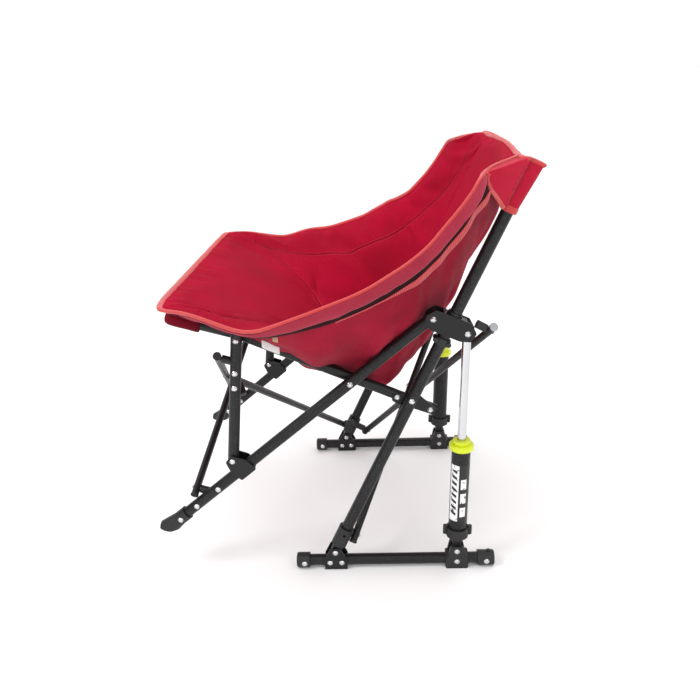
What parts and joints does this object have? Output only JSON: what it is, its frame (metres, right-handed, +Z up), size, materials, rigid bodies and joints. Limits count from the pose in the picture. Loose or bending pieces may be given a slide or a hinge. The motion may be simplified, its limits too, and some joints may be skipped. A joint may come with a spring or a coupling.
{
  "type": "camp rocking chair",
  "caption": "Folding camp chair with a padded bucket sling on a crossed-tube steel frame that rocks back on floor rails against sprung pistons.",
  "frame": {"origin": "middle of the footprint, on the floor", "axes": "+Z up, the chair faces -Y, +X is the sitter's left"},
  "size_m": [0.8254, 0.8099, 0.887],
  "materials": {
    "rivet_steel": "zinc-plated, domed",
    "chrome_rod": "hard chrome",
    "signal_collar": "bright yellow-green",
    "sling_fabric": "padded polyester, crimson",
    "pocket_fabric": "heavy polyester, dark red",
    "spring_steel": "oiled spring steel",
    "black_plastic": "fine matte",
    "cylinder_paint": "gloss black",
    "frame_paint": "satin black powder coat"
  },
  "bodies": {
    "base": {"base_rail_left": "frame_paint", "base_rail_right": "frame_paint", "piston_mount_left": "black_plastic", "piston_mount_right": "black_plastic", "rail_end_caps": "black_plastic", "rail_hinge_bracket_left": "frame_paint", "rail_hinge_bracket_right": "frame_paint", "rail_pins": "rivet_steel", "rail_rivets": "rivet_steel"},
    "frame": {"back_post_left": "frame_paint", "back_post_right": "frame_paint", "brace_end_plugs": "black_plastic", "brace_rivets": "rivet_steel", "front_brace_first": "frame_paint", "front_brace_knuckles": "black_plastic", "front_brace_second": "frame_paint", "front_pocket_left": "pocket_fabric", "front_pocket_right": "pocket_fabric", "front_post_left": "frame_paint", "front_post_right": "frame_paint", "front_post_rivets": "rivet_steel", "leg_foot_left": "black_plastic", "leg_foot_right": "black_plastic", "leg_rivets": "rivet_steel", "leg_sleeve_left": "frame_paint", "leg_sleeve_right": "frame_paint", "long_leg_left": "frame_paint", "long_leg_right": "frame_paint", "post_boot_left": "black_plastic", "post_boot_right": "black_plastic", "post_stop_collar": "black_plastic", "rear_brace_first": "frame_paint", "rear_brace_knuckles": "black_plastic", "rear_brace_second": "frame_paint", "seat_brace": "frame_paint", "seat_brace_knuckles": "black_plastic", "seat_hinge_plate": "frame_paint", "seat_rail_left": "frame_paint", "seat_rail_right": "frame_paint", "seat_rail_rivets": "rivet_steel", "seat_sling": "sling_fabric", "slide_bracket_left": "frame_paint", "slide_bracket_right": "frame_paint", "slide_bush": "black_plastic", "slide_rivets": "rivet_steel", "top_pocket_left": "pocket_fabric", "top_pocket_right": "pocket_fabric"},
    "cylinder_left": {"cylinder_base_left": "black_plastic", "spring_cylinder_left": "cylinder_paint", "cylinder_collar_left": "signal_collar", "piston_spring_left": "spring_steel"},
    "rod_left": {"piston_rod_left": "chrome_rod"},
    "cylinder_right": {"cylinder_base_right": "black_plastic", "spring_cylinder_right": "cylinder_paint", "cylinder_collar_right": "signal_collar", "piston_spring_right": "spring_steel"},
    "rod_right": {"piston_rod_right": "chrome_rod"}
  },
  "joints": [
    {"name": "rock", "type": "hinge", "parent": "base", "child": "frame", "pos_m": [0, -0.0187, 0.043], "axis": [-1, 0, 0], "range_deg": [0, 14], "stiffness_Nm_per_rad": 150, "springref_deg": -5.73},
    {"name": "cylinder_tilt_left", "type": "hinge", "parent": "base", "child": "cylinder_left", "pos_m": [0.28, 0.25, 0.043], "axis": [-1, 0, 0], "range_deg": [0, 15.4]},
    {"name": "rod_slide_left", "type": "slide", "parent": "cylinder_left", "child": "rod_left", "axis": [0, -0.0379, -0.9993], "range_m": [0, 0.06483], "deforming": ["piston_spring_left"]},
    {"name": "cylinder_tilt_right", "type": "hinge", "parent": "base", "child": "cylinder_right", "pos_m": [-0.28, 0.25, 0.043], "axis": [-1, 0, 0], "range_deg": [0, 15.4]},
    {"name": "rod_slide_right", "type": "slide", "parent": "cylinder_right", "child": "rod_right", "axis": [0, -0.0379, -0.9993], "range_m": [0, 0.06483], "deforming": ["piston_spring_right"]}
  ],
  "couplings": [
    {"joint": "cylinder_tilt_left", "follows": "rock", "ratio": 1.0965},
    {"joint": "rod_slide_left", "follows": "rock", "m_per_rad": 0.2641},
    {"joint": "cylinder_tilt_right", "follows": "rock", "ratio": 1.0965},
    {"joint": "rod_slide_right", "follows": "rock", "m_per_rad": 0.2641}
  ]
}
